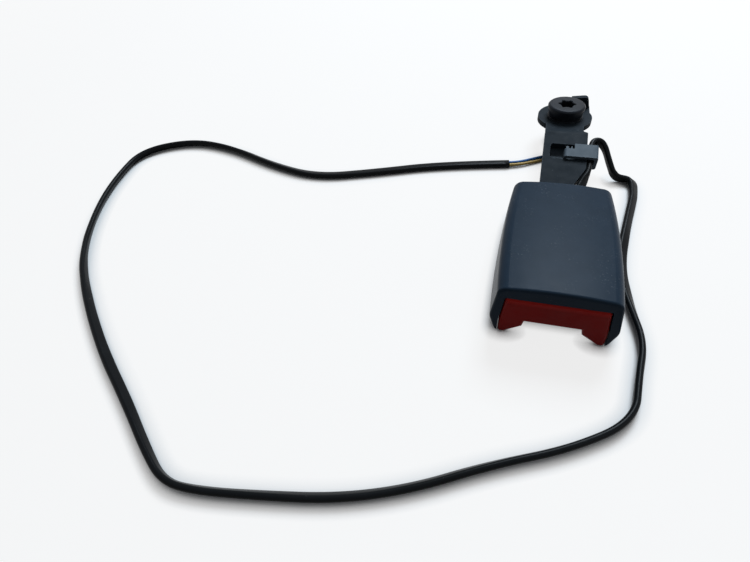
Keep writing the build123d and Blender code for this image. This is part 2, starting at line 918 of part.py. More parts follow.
# Cable clip: a band through the slot, round the stalk's edge and the cord, with a leaf under the slot
clip_run = (clip_start - rise_start) / cos(rise)
clip_plane = Plane(
    origin=slope_plane.from_local_coords(Vector(0, clip_run, 0)),
    x_dir=(1, 0, 0),
    z_dir=(0, -cos(rise), -sin(rise)),
)
with BuildPart() as cable_clip:
    with BuildSketch(clip_plane) as band:
        with BuildLine():
            add(span(clip_left, clip_right, clip_foot, clip_head))
        make_face()
        fillet(band.vertices(), clip_corner)
        with BuildLine():
            inner_left = clip_left + clip_gauge
            inner_right_wall = clip_right - clip_gauge
            add(span(inner_left, inner_right_wall, clip_foot + clip_gauge, clip_head - clip_gauge))
        make_face(mode=Mode.SUBTRACT)
    extrude(amount=-clip_length)
    with BuildSketch(slope_plane):
        with BuildLine():
            notch_back = clip_run + clip_length
            add(span(clip_left - past, clip_notch_right, notch_back - clip_notch_start, notch_back + past))
        make_face()
    extrude(amount=past, both=True, mode=Mode.SUBTRACT)
    with BuildSketch(slope_plane.offset(clip_head - clip_gauge)):
        for rib_width, rib_offset in zip(rib_widths, rib_offsets):
            with BuildLine():
                rib_left = clip_left + rib_offset
                rib_start = notch_back - clip_notch_start - slip_gap
                add(span(rib_left, rib_left + rib_width, rib_start, notch_back - clip_gauge))
            make_face()
    extrude(amount=clip_gauge - rib_drop)
    with BuildSketch(slope_plane.offset(clip_foot)):
        with BuildLine():
            leaf_start = slot_run - slot_length / 2 - leaf_lap
            leaf_end = slot_run + slot_length / 2 + leaf_reach
            add(span(slot_left - leaf_lap, clip_left + clip_notch_width, leaf_start, leaf_end))
        make_face()
    extrude(amount=clip_gauge)

# Free cord, from the clip to its cut end on the floor
with BuildPart() as cord_free:
    with BuildLine() as free_path:
        along = Vector(0, cos(rise), sin(rise))
        leaving = placed(clip_line(clip_end)) + along * slip_gap
        free_points = [leaving, leaving + along * free_first_run]
        free_points += [placed(p) for p in free_route]
        FilletPolyline(*free_points, radius=arc_radii(free_points))
    with BuildSketch(Plane(origin=free_path.line @ 0, z_dir=free_path.line % 0)):
        Circle(cord_diameter / 2)
    sweep(path=free_path.line)

# Conductor tails, leaving the sheath's end square to it
sheath_along = (free_points[-1] - free_points[-2]).normalized()
sheath_across = sheath_along.cross(Vector(0, 0, -1))
sheath_end = free_points[-1] + sheath_along * slip_gap


def tail_points(offset_across, route):
    start = sheath_end + sheath_across * offset_across
    return [start, start + sheath_along * tail_first_run] + [placed(p) for p in route]


with BuildPart() as tail_blue:
    with BuildLine() as blue_path:
        blue_points = tail_points(core_offset, blue_route)
        FilletPolyline(*blue_points, radius=arc_radii(blue_points))
    with BuildSketch(Plane(origin=blue_path.line @ 0, z_dir=blue_path.line % 0)):
        Circle(core_diameter / 2)
    sweep(path=blue_path.line)
with BuildPart() as tail_tan:
    with BuildLine() as tan_path:
        tan_points = tail_points(-core_offset, tan_route)
        FilletPolyline(*tan_points, radius=arc_radii(tan_points))
    with BuildSketch(Plane(origin=tan_path.line @ 0, z_dir=tan_path.line % 0)):
        Circle(core_diameter / 2)
    sweep(path=tan_path.line)

# Anchor bolt: head, shoulder in the eye, neck for the retainer, thread to the floor
shoulder_end = -plate - shoulder_past_plate
neck_end_height = shoulder_end - neck_length
end_radius = thread_radius - thread_chamfer
thread_end = -(eye_top - end_radius * sin(tilt)) / cos(tilt)
with BuildPart() as anchor_bolt:
    with BuildSketch(Plane(origin=eye_plane.origin, x_dir=(1, 0, 0), z_dir=-eye_plane.y_dir)):
        with BuildLine():
            Polyline(
                (0, washer_height + head_height),
                (head_radius - head_chamfer, washer_height + head_height),
                (head_radius, washer_height + head_height - head_chamfer),
                (head_foot_radius, washer_height),
                (shoulder_radius, washer_height),
                (shoulder_radius, shoulder_end),
                (neck_radius, shoulder_end),
                (neck_radius, neck_end_height),
                (thread_radius, neck_end_height),
                (thread_radius, thread_end + thread_chamfer),
                (end_radius, thread_end),
                (0, thread_end),
                close=True,
            )
        make_face()
    revolve(axis=Axis(eye_plane.origin, eye_plane.z_dir))
    with BuildSketch(eye_plane.offset(washer_height + head_height)):
        Circle(lobe_circle)
        with PolarLocations(lobe_circle, 6):
            Circle(lobe_radius)
    extrude(amount=-recess_depth, mode=Mode.SUBTRACT)

# Conical spring washer under the head
with BuildPart() as spring_washer:
    with BuildSketch(Plane(origin=eye_plane.origin, x_dir=(1, 0, 0), z_dir=-eye_plane.y_dir)):
        with BuildLine():
            Polyline(
                (washer_inner, washer_height - washer_gauge),
                (washer_outer, 0),
                (washer_outer, washer_gauge),
                (washer_inner, washer_height),
                close=True,
            )
        make_face()
    revolve(axis=Axis(eye_plane.origin, eye_plane.z_dir))

# Retaining washer on the bolt's neck
with BuildPart() as retaining_washer:
    with BuildSketch(eye_plane.offset(shoulder_end)):
        Circle(retainer_outer)
        Circle(retainer_inner, mode=Mode.SUBTRACT)
    extrude(amount=-retainer_thickness)

built = {
    "upper_cover": upper_cover,
    "lower_cover": lower_cover,
    "release_button": release_button,
    "frame": frame,
    "anchor_bracket": anchor_bracket,
    "frame_rivets": frame_rivets,
    "latch": latch,
    "latch_pin": latch_pin,
    "latch_spring": latch_spring,
    "ejector": ejector,
    "ejector_spring": ejector_spring,
    "button_springs": button_springs,
    "switch_housing": switch_housing,
    "fixed_contact": fixed_contact,
    "moving_contact": moving_contact,
    "inner_wire_blue": inner_wire_blue,
    "inner_wire_tan": inner_wire_tan,
    "cord_held": cord_held,
    "cord_free": cord_free,
    "tail_blue": tail_blue,
    "tail_tan": tail_tan,
    "cable_clip": cable_clip,
    "anchor_bolt": anchor_bolt,
    "spring_washer": spring_washer,
    "retaining_washer": retaining_washer,
}
os.makedirs("parts", exist_ok=True)
for name, builder in built.items():
    builder.part.label = name
    export_step(builder.part, f"parts/{name}.step")

# Cord figures: arc radii, then volume against section times length
cord_area = pi * cord_diameter**2 / 4
core_area = pi * core_diameter**2 / 4
for name, points, path, area, tube in (
    ("cord_free", free_points, free_path, cord_area, cord_free),
    ("tail_blue", blue_points, blue_path, core_area, tail_blue),
    ("tail_tan", tan_points, tan_path, core_area, tail_tan),
):
    print(name, "radii", [round(r, 1) for r in arc_radii(points)])
    print(name, "length", round(path.wire().length, 1))
    print(name, "volume", round(tube.part.volume, 1), "of", round(area * path.wire().length, 1))
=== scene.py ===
import json
import math

import bmesh
import bpy
from mathutils import Matrix, Vector


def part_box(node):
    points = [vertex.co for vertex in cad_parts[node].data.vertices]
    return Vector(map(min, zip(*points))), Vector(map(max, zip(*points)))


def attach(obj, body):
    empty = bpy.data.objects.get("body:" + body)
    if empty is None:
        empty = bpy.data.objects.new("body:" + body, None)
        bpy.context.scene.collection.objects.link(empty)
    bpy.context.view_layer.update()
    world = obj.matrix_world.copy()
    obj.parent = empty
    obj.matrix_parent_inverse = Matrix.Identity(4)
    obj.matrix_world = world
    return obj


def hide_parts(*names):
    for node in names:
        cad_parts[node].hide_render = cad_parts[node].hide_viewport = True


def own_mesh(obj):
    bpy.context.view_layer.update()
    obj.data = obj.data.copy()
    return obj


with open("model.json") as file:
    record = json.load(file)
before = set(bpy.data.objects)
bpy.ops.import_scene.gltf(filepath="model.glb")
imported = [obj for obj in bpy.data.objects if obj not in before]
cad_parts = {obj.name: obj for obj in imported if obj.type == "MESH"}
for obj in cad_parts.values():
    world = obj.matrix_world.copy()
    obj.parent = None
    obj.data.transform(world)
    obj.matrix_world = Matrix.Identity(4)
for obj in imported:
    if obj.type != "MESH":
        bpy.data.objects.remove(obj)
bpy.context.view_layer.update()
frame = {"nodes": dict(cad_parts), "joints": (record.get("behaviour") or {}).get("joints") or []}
nodes = frame["nodes"]
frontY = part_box("upper_cover")[0].y  # the housing's front face
milli = 0.001
print("frame loaded:", len(nodes), "nodes")


def place(x, distance, height):  # mm, the distance runs back from the front face
    return Vector((x * milli, frontY + distance * milli, height * milli))


def newPiece(name, bm, material, body, crease=180):
    mesh = bpy.data.meshes.new(name)
    bm.to_mesh(mesh)
    bm.free()
    mesh.shade_smooth()
    mesh.set_sharp_from_angle(angle=math.radians(crease))
    piece = bpy.data.objects.new(name, mesh)
    bpy.context.scene.collection.objects.link(piece)
    piece.data.materials.append(material)
    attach(piece, body)
    return piece


def smoothStep(share):
    return share * share * (3 - 2 * share)


def newVerts(made):
    return [g for g in made if isinstance(g, bmesh.types.BMVert)]


def rimEdges(made):  # the open edges of what was just extruded
    return [g for g in made if isinstance(g, bmesh.types.BMEdge) and len(g.link_faces) == 1]


def connected(start):  # every vertex that edges join to these
    found = list(start)
    seen = set(start)
    for vert in found:  # the list grows as it is read
        for edge in vert.link_edges:
            other = edge.other_vert(vert)
            if other not in seen:
                seen.add(other)
                found.append(other)
    return found


# One builder for every finish: uneven tone, roughness and grain, with specks, wear and a painted highlight
# band as options
mottle = {
    "toneDetail": 4, "toneRough": 0.6, "toneSpan": (0.3, 0.7),
    "speckDetail": 2, "speckRough": 0.7, "speckFade": 0.06,
    "patchScale": 0.6, "patchDetail": 2, "patchSpan": (0.45, 0.65),
    "wearSamples": 6, "edgeSpan": (0.86, 0.985),
    "brokenDetail": 4, "brokenRough": 0.65, "brokenSpan": (0.38, 0.62),
    "roughScale": 1.7, "roughDetail": 3, "roughSpan": (0.3, 0.7),
    "grainDetail": 3, "grainRough": 0.6,
}
none, full = (0, 0, 0), (1, 1, 1)  # the ends of a mask


def finish(name, look):
    material = bpy.data.materials.new(name)
    material.use_nodes = True
    tree = material.node_tree
    shader = tree.nodes["Principled BSDF"]
    shader.inputs["Metallic"].default_value = look.get("metallic", 0.0)
    shader.inputs["Specular IOR Level"].default_value = look.get("specular", 0.5)
    spot = tree.nodes.new("ShaderNodeTexCoord").outputs["Object"]

    def noise(scale, detail, rough=0.5):
        node = tree.nodes.new("ShaderNodeTexNoise")
        node.inputs["Scale"].default_value = scale
        node.inputs["Detail"].default_value = detail
        node.inputs["Roughness"].default_value = rough
        tree.links.new(spot, node.inputs["Vector"])
        return node.outputs["Fac"]

    def ramp(source, span, low, high):
        node = tree.nodes.new("ShaderNodeValToRGB")
        for element, position, colour in zip(node.color_ramp.elements, span, (low, high)):
            element.position = position
            element.color = (*colour, 1)
        tree.links.new(source, node.inputs["Fac"])
        return node.outputs["Color"]

    def mixed(factor, under, over):  # one colour laid over what is there
        node = tree.nodes.new("ShaderNodeMix")
        node.data_type = "RGBA"
        sockets = {s.name: s for s in node.inputs if s.type == "RGBA"}
        tree.links.new(factor, node.inputs["Factor"])
        tree.links.new(under, sockets["A"])
        sockets["B"].default_value = (*over, 1)
        return [s for s in node.outputs if s.type == "RGBA"][0]

    def times(first, second):
        node = tree.nodes.new("ShaderNodeMath")
        node.operation = "MULTIPLY"
        node.use_clamp = True
        tree.links.new(first, node.inputs[0])
        if isinstance(second, float):
            node.inputs[1].default_value = second
        else:
            tree.links.new(second, node.inputs[1])
        return node.outputs[0]

    # broad tone: handling marks and uneven colour
    tone = noise(look["toneScale"], mottle["toneDetail"], mottle["toneRough"])
    colour = ramp(tone, mottle["toneSpan"], look["dark"], look["light"])
    # specks: tiny pale scuffs, in patches
    if "speck" in look:
        dots = noise(look["speckScale"], mottle["speckDetail"], mottle["speckRough"])
        specks = ramp(dots, (look["speckFrom"], look["speckFrom"] + mottle["speckFade"]), none, full)
        clouds = noise(look["toneScale"] * mottle["patchScale"], mottle["patchDetail"])
        patches = ramp(clouds, mottle["patchSpan"], none, full)
        colour = mixed(times(times(specks, patches), look["speckShare"]), colour, look["speck"])
    # wear: where a rounded normal leaves the true one, broken up by noise
    if "wear" in look:
        bevel = tree.nodes.new("ShaderNodeBevel")
        bevel.samples = mottle["wearSamples"]
        bevel.inputs["Radius"].default_value = look["wearRadius"]
        true = tree.nodes.new("ShaderNodeNewGeometry").outputs["Normal"]
        dot = tree.nodes.new("ShaderNodeVectorMath")
        dot.operation = "DOT_PRODUCT"
        tree.links.new(bevel.outputs["Normal"], dot.inputs[0])
        tree.links.new(true, dot.inputs[1])
        edge = ramp(dot.outputs["Value"], mottle["edgeSpan"], full, none)
        scuffs = noise(look["wearScale"], mottle["brokenDetail"], mottle["brokenRough"])
        broken = ramp(scuffs, mottle["brokenSpan"], none, full)
        colour = mixed(times(times(edge, broken), look["wearShare"]), colour, look["wear"])
    # painted highlight: paler towards the top edge, standing in for the light that the rounded top edge
    # catches
    if "paintedHighlight" in look:
        split = tree.nodes.new("ShaderNodeSeparateXYZ")
        tree.links.new(spot, split.inputs["Vector"])
        band = tree.nodes.new("ShaderNodeMapRange")
        band.inputs["From Min"].default_value = look["paintedHighlightFrom"]
        band.inputs["From Max"].default_value = look["paintedHighlightTo"]
        tree.links.new(split.outputs["Z"], band.inputs["Value"])
        colour = mixed(band.outputs["Result"], colour, look["paintedHighlight"])
    tree.links.new(colour, shader.inputs["Base Color"])

    sheen = noise(look["toneScale"] * mottle["roughScale"], mottle["roughDetail"])
    rough = ramp(sheen, mottle["roughSpan"], (look["roughLow"],) * 3, (look["roughHigh"],) * 3)
    tree.links.new(rough, shader.inputs["Roughness"])

    bump = tree.nodes.new("ShaderNodeBump")
    bump.inputs["Strength"].default_value = look["grain"]
    bump.inputs["Distance"].default_value = look["grainDepth"]
    grain = noise(look["grainScale"], mottle["grainDetail"], mottle["grainRough"])
    tree.links.new(grain, bump.inputs["Height"])
    tree.links.new(bump.outputs["Normal"], shader.inputs["Normal"])
    return material


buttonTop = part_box("release_button")[1].z
looks = {
    "coverPlastic": {
        "dark": (0.0142, 0.0254, 0.0408), "light": (0.0164, 0.0292, 0.0468), "toneScale": 140,
        "roughLow": 0.28, "roughHigh": 0.32, "specular": 0.03,
        "grain": 0.3, "grainDepth": 0.00008, "grainScale": 2200,
        "speck": (0.11, 0.13, 0.15), "speckScale": 1100, "speckFrom": 0.62, "speckShare": 0.4,
        "wear": (0.05, 0.064, 0.080), "wearRadius": 0.0008, "wearScale": 260, "wearShare": 0.4,
    },
    "buttonRed": {
        "dark": (0.255, 0.0072, 0.0055), "light": (0.29, 0.0092, 0.0070), "toneScale": 110,
        "roughLow": 0.38, "roughHigh": 0.5, "specular": 0.06,
        "grain": 0.2, "grainDepth": 0.00005, "grainScale": 2400,
        "wear": (0.36, 0.024, 0.018), "wearRadius": 0.0007, "wearScale": 300, "wearShare": 0.4,
        # the button's paler top band is a painted highlight
        "paintedHighlight": (0.47, 0.020, 0.015), "paintedHighlightFrom": buttonTop - 0.0032, "paintedHighlightTo": buttonTop - 0.0008,
    },
    "stalkPaint": {
        "dark": (0.0105, 0.0150, 0.0200), "light": (0.0140, 0.0195, 0.0255), "toneScale": 150,
        "roughLow": 0.52, "roughHigh": 0.62, "specular": 0.04,
        "grain": 0.3, "grainDepth": 0.0001, "grainScale": 1500,
        "speck": (0.12, 0.14, 0.16), "speckScale": 700, "speckFrom": 0.66, "speckShare": 0.35,
        "wear": (0.085, 0.1, 0.12), "wearRadius": 0.0006, "wearScale": 240, "wearShare": 0.8,
    },
    "boltBlack": {
        "dark": (0.008, 0.010, 0.014), "light": (0.015, 0.018, 0.024), "toneScale": 160,
        "metallic": 0.1, "roughLow": 0.34, "roughHigh": 0.46, "specular": 0.06,
        "grain": 0.3, "grainDepth": 0.00008, "grainScale": 1800,
        "wear": (0.075, 0.085, 0.1), "wearRadius": 0.0005, "wearScale": 420, "wearShare": 0.7,
    },
    "clipPlastic": {
        "dark": (0.066, 0.086, 0.106), "light": (0.084, 0.106, 0.128), "toneScale": 180,
        "roughLow": 0.42, "roughHigh": 0.5, "specular": 0.06,
        "grain": 0.2, "grainDepth": 0.00005, "grainScale": 2000,
        "wear": (0.2, 0.23, 0.26), "wearRadius": 0.0004, "wearScale": 400, "wearShare": 0.5,
    },
    "sheathPlastic": {
        "dark": (0.0042, 0.0052, 0.0062), "light": (0.0070, 0.0082, 0.0095), "toneScale": 60,
        "roughLow": 0.26, "roughHigh": 0.34, "specular": 0.05,
        "grain": 0.25, "grainDepth": 0.00006, "grainScale": 1400,
        "speck": (0.12, 0.12, 0.12), "speckScale": 520, "speckFrom": 0.68, "speckShare": 0.4,
    },
    "blueCore": {
        "dark": (0.014, 0.085, 0.26), "light": (0.020, 0.105, 0.32), "toneScale": 220,
        "roughLow": 0.34, "roughHigh": 0.42, "specular": 0.15,
        "grain": 0.12, "grainDepth": 0.00004, "grainScale": 2200,
    },
    "tanCore": {
        "dark": (0.42, 0.27, 0.08), "light": (0.52, 0.35, 0.11), "toneScale": 220,
        "roughLow": 0.34, "roughHigh": 0.42, "specular": 0.15,
        "grain": 0.12, "grainDepth": 0.00004, "grainScale": 2200,
    },
    "platedSteel": {
        "dark": (0.42, 0.43, 0.45), "light": (0.56, 0.57, 0.58), "toneScale": 120,
        "metallic": 1.0, "roughLow": 0.28, "roughHigh": 0.42,
        "grain": 0.15, "grainDepth": 0.00005, "grainScale": 1600,
    },
    "springSteel": {
        "dark": (0.30, 0.31, 0.32), "light": (0.44, 0.45, 0.46), "toneScale": 300,
        "metallic": 1.0, "roughLow": 0.24, "roughHigh": 0.36,
        "grain": 0.1, "grainDepth": 0.00003, "grainScale": 2600,
    },
    "naturalPlastic": {
        "dark": (0.56, 0.55, 0.51), "light": (0.66, 0.65, 0.61), "toneScale": 130,
        "roughLow": 0.4, "roughHigh": 0.52,
        "grain": 0.12, "grainDepth": 0.00004, "grainScale": 1900,
    },
    "contactBrass": {
        "dark": (0.55, 0.38, 0.14), "light": (0.70, 0.50, 0.20), "toneScale": 300,
        "metallic": 1.0, "roughLow": 0.22, "roughHigh": 0.36,
        "grain": 0.1, "grainDepth": 0.00003, "grainScale": 2400,
    },
}
finishes = {name: finish(name, look) for name, look in looks.items()}
print("finishes made:", len(finishes))

nodeFinish = {
    "upper_cover": "coverPlastic", "lower_cover": "coverPlastic", "release_button": "buttonRed",
    "anchor_bracket": "stalkPaint", "spring_washer": "boltBlack", "anchor_bolt": "boltBlack",
    "cable_clip": "clipPlastic", "cord_held": "sheathPlastic", "cord_free": "sheathPlastic",
    "inner_wire_blue": "blueCore", "tail_blue": "blueCore",
    "inner_wire_tan": "tanCore", "tail_tan": "tanCore",
    "frame": "platedSteel", "frame_rivets": "platedSteel", "latch": "platedSteel", "latch_pin": "platedSteel",
    "latch_spring": "springSteel", "ejector_spring": "springSteel", "button_springs": "springSteel",
    "ejector": "naturalPlastic", "switch_housing": "naturalPlastic", "retaining_washer": "naturalPlastic",
    "fixed_contact": "contactBrass", "moving_contact": "contactBrass",
}
for node, finishName in nodeFinish.items():
    nodes[node].data.materials.clear()
    nodes[node].data.materials.append(finishes[finishName])
print("CAD nodes dressed:", len(nodeFinish))


# Cords: the route's points are control points of one smooth spline
def routeCurve(name, points, resolution):
    curve = bpy.data.curves.new(name, "CURVE")
    curve.dimensions = "3D"
    curve.resolution_u = resolution
    spline = curve.splines.new("NURBS")
    spline.points.add(len(points) - 1)
    for entry, point in zip(spline.points, points):
        entry.co = (*point, 1)
    spline.order_u = 3
    spline.use_endpoint_u = True
    return curve


def routeLine(name, points, resolution):  # points along the spline itself
    curve = routeCurve(name, points, resolution)
    holder = bpy.data.objects.new(name, curve)
    mesh = bpy.data.meshes.new_from_object(holder)
    line = [v.co.copy() for v in mesh.vertices]
    bpy.data.objects.remove(holder)
    bpy.data.meshes.remove(mesh)
    bpy.data.curves.remove(curve)
    return line


def eased(keys, at):  # smooth between neighbouring keys
    for (a, low), (b, high) in zip(keys, keys[1:]):
        if at <= b:
            return low + (high - low) * smoothStep(max(0.0, (at - a) / (b - a)))
    return keys[-1][1]


floorGap = 0.00003  # metres between a lying cord and the floor
onMiddle = 1e-7  # a section point this near the middle belongs to neither core


def flatCord(name, line, cord, material):
    half = cord["thickness"] / 2 * milli
    reach = (cord["width"] - cord["thickness"]) / 2 * milli
    bm = bmesh.new()
    ring = bmesh.ops.create_circle(bm, segments=cord["sides"], radius=half)["verts"]
    edges = list(bm.edges)
    flat = []
    for vert in ring:  # stretch the circle to a two-core section with a slight waist
        lean = 1 if vert.co.x > onMiddle else -1 if vert.co.x < -onMiddle else 0
        waist = 1 - cord["waist"] * (1 - abs(vert.co.x) / half) ** 2
        flat.append((vert.co.x + lean * reach, vert.co.y * waist))
    centres = []
    along = 0.0
    for index, point in enumerate(line):
        before, after = line[max(index - 1, 0)], line[min(index + 1, len(line) - 1)]
        if index:
            along += (point - line[index - 1]).length
        tangent = (after - before).normalized()
        across = Vector((0, 0, 1)).cross(tangent).normalized()
        rise = tangent.cross(across)
        turn = math.radians(eased(cord["turns"], along / milli))
        # near the floor the section rests on it, whichever way it is turned
        lowest = half + reach * abs(math.sin(turn)) + floorGap
        lifted = smoothStep(min(max(point.z / milli - cord["floor"], 0) / cord["settle"], 1))
        centre = Vector((point.x, point.y, lowest + (max(point.z, lowest) - lowest) * lifted))
        if index:
            made = bmesh.ops.extrude_edge_only(bm, edges=edges)["geom"]
            edges = rimEdges(made)
            linked = {}  # each new vertex by its place in the section
            for vert in newVerts(made):
                for edge in vert.link_edges:
                    other = edge.other_vert(vert)
                    if other in order:
                        linked[order[other]] = vert
            ring = [linked[i] for i in range(len(flat))]
        order = {vert: i for i, vert in enumerate(ring)}
        for vert, (a, b) in zip(ring, flat):
            side = a * math.cos(turn) - b * math.sin(turn)
            up = a * math.sin(turn) + b * math.cos(turn)
            vert.co = centre + across * side + rise * up
        centres.append(centre)
    bmesh.ops.holes_fill(bm, edges=bm.edges, sides=0)
    bmesh.ops.recalc_face_normals(bm, faces=bm.faces)
    piece = newPiece(name, bm, material, "housing")
    return piece, centres


sheath = {
    "width": 4.8, "thickness": 2.9, "waist": 0.10, "sides": 28, "resolution": 20, "length": 0.795,
    "floor": 1.95, "settle": 3.0,
    # out of the clip, over and down to the floor
    "lift": [
        (13.6, 112.66, 14.57), (13.6, 118.5, 15.81), (19.9, 119.9, 15.1), (24.7, 109.8, 7.6),
        (27.6, 107.2, 3.5), (37.1, 108.2, 1.95), (36.6, 95.6, 1.95),
    ],
    # along the floor
    "route": [
        (35.9, 90.8), (32.3, 71.6), (28.3, 45.0), (31.4, 22.0), (36.0, 4.3), (32.8, -14.1),
        (30.5, -31.9), (9.5, -46.9), (-18.2, -59.3), (-42.1, -72.7), (-66.1, -81.5), (-92.2, -86.3),
        (-115.0, -89.7), (-128.0, -89.3), (-139.5, -80.5), (-157.9, -63.9), (-181.9, -44.1), (-207.2, -18.5),
        (-226.2, 5.7), (-238.6, 36.6), (-243.4, 65.5), (-242.0, 91.6), (-214.9, 106.1), (-187.0, 103.1),
        (-155.7, 90.9), (-128.3, 85.0), (-98.4, 93.6), (-61.6, 106.4), (-26.0, 112.9),
    ],
    # how the flat cord turns on itself: mm along it, degrees from lying flat
    "turns": [
        (0, 90), (8, 97), (20, 100), (30, 112), (40, 146), (52, 138), (70, 136), (90, 158), (110, 148),
        (130, 118), (150, 104), (170, 94), (190, 74), (215, 66), (250, 56), (290, 48), (330, 60), (350, 74),
        (370, 60), (390, 45), (410, 36), (430, 47), (450, 57), (470, 78), (490, 102), (510, 114), (530, 114),
        (560, 122), (590, 127), (620, 132), (645, 140), (670, 150), (690, 166), (720, 173), (760, 177),
        (800, 178),
    ],
}
sheathPoints = [place(*p) for p in sheath["lift"]]
sheathPoints += [place(x, d, sheath["floor"]) for x, d in sheath["route"]]
sheathLine = routeLine("sheathRoute", sheathPoints, sheath["resolution"])
sheathPiece, sheathCentres = flatCord("sheathCord", sheathLine, sheath, finishes["sheathPlastic"])
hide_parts("cord_free")
print("sheath laid:", len(sheathLine), "rings")

heldCord = {
    "width": 4.8, "thickness": 2.9, "waist": 0.10, "sides": 28, "resolution": 14,
    "floor": 1.95, "settle": 3.0,
    "route": [
        (7.6, 66.0, 7.2), (7.4, 76.0, 7.4), (8.3, 84.0, 8.5), (11.6, 94.0, 10.5),
        (13.6, 99.5, 11.8), (13.6, 112.61, 14.56),
    ],
    "turns": [(0, 0), (16, 0), (24, 40), (33, 90), (60, 90)],
}
heldLine = routeLine("heldRoute", [place(*p) for p in heldCord["route"]], heldCord["resolution"])
heldPiece = flatCord("heldCord", heldLine, heldCord, finishes["sheathPlastic"])[0]
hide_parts("cord_held")

cores = {
    "diameter": 1.6, "apart": 1.0, "firstRun": 5.0, "gap": 0.05, "floor": 0.85, "length": 0.0357,
    "resolution": 16, "roundness": 6,
    "blue": [(-12.0, 121.0), (-2.5, 126.2), (6.0, 128.5)],
    "tan": [(-11.2, 118.4), (-1.6, 123.4), (7.0, 125.4)],
}
sheathEnd = sheathCentres[-1]
sheathAlong = (sheathPoints[-1] - sheathPoints[-2]).normalized()
sheathAcross = sheathAlong.cross(Vector((0, 0, -1)))


def coreTail(name, side, route, material, node):
    start = sheathEnd + sheathAlong * cores["gap"] * milli + sheathAcross * side * cores["apart"] * milli
    points = [start, start + sheathAlong * cores["firstRun"] * milli]
    points += [place(x, d, cores["floor"]) for x, d in route]
    curve = routeCurve(name, points, cores["resolution"])
    curve.bevel_depth = cores["diameter"] / 2 * milli
    curve.bevel_resolution = cores["roundness"]
    curve.use_fill_caps = True
    tail = bpy.data.objects.new(name, curve)
    bpy.context.scene.collection.objects.link(tail)
    curve.materials.append(material)
    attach(tail, "housing")
    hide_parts(node)


coreTail("blueTail", 1, cores["blue"], finishes["blueCore"], "tail_blue")
coreTail("tanTail", -1, cores["tan"], finishes["tanCore"], "tail_tan")
print("conductors laid")

# Anchor bolt in its own frame: the axis is Z and the eye's top face is at 0
bolt = {
    "segments": 96, "crease": 32,
    "lobes": 6, "lobeCircle": 3.5, "lobeRadius": 0.97, "recess": 5.2, "mouth": 0.35,
    "profile": [
        (8.55, 6.9), (8.9, 6.82), (9.25, 6.6), (9.62, 6.24), (9.78, 5.95), (9.8, 5.7), (8.86, 1.45),
        (8.8, 1.2), (7.0, 1.2), (7.0, -3.2), (6.8, -3.4), (4.9, -3.4), (4.9, -5.3), (4.6, -5.3),
    ],
    "pitch": 1.27, "root": 4.72, "crest": 5.55, "crestFrom": 0.42, "crestTo": 0.58,
    "threadTop": -5.3, "threadEnd": -15.0, "tip": (4.6, -15.85),
    "steps": 48, "spareTurns": 2, "weld": 0.000004,
}
joint = [j for j in frame["joints"] if j["name"] == "bolt_turn"][0]
boltAxis = Vector(joint["axis"]).normalized()
boltSeat = Vector(joint["pos_m"])


def direction(vert):
    return math.atan2(vert.co.y, vert.co.x)


def setOut(vert, reach, height):  # mm, in its own direction from the axis
    around = direction(vert)
    vert.co = Vector((math.cos(around) * reach, math.sin(around) * reach, height)) * milli


def ringTo(bm, edges, radius, height):  # a new ring on the axis, joined to the last one
    made = bmesh.ops.extrude_edge_only(bm, edges=edges)["geom"]
    for vert in newVerts(made):
        setOut(vert, radius, height)
    return rimEdges(made)


def lobeReach(around):  # how far the six-lobe outline lies from the axis
    step = 2 * math.pi / bolt["lobes"]
    off = (around + step / 2) % step - step / 2
    side = bolt["lobeCircle"] * math.sin(off)
    if abs(side) >= bolt["lobeRadius"]:
        return bolt["lobeCircle"]
    lobe = bolt["lobeCircle"] * math.cos(off) + math.sqrt(bolt["lobeRadius"] ** 2 - side ** 2)
    return max(bolt["lobeCircle"], lobe)


# head and shank round the drive recess
headRadius, headTop = bolt["profile"][0]
bm = bmesh.new()
outer = bmesh.ops.create_circle(bm, segments=bolt["segments"], radius=headRadius * milli)["verts"]
bmesh.ops.translate(bm, verts=outer, vec=(0, 0, headTop * milli))
outerEdges = list(bm.edges)
socket = bmesh.ops.create_circle(bm, segments=bolt["segments"], radius=bolt["lobeCircle"] * milli)["verts"]
socketEdges = [e for e in bm.edges if e not in outerEdges]
for vert in socket:
    setOut(vert, lobeReach(direction(vert)) + bolt["mouth"], headTop)
bmesh.ops.bridge_loops(bm, edges=outerEdges + socketEdges)
for drop in (bolt["mouth"], bolt["recess"]):
    made = bmesh.ops.extrude_edge_only(bm, edges=socketEdges)["geom"]
    for vert in newVerts(made):
        setOut(vert, lobeReach(direction(vert)), headTop - drop)
    socketEdges = rimEdges(made)
bmesh.ops.edgeloop_fill(bm, edges=socketEdges)
edges = outerEdges
for radius, height in bolt["profile"][1:]:
    edges = ringTo(bm, edges, radius, height)
bmesh.ops.edgeloop_fill(bm, edges=edges)

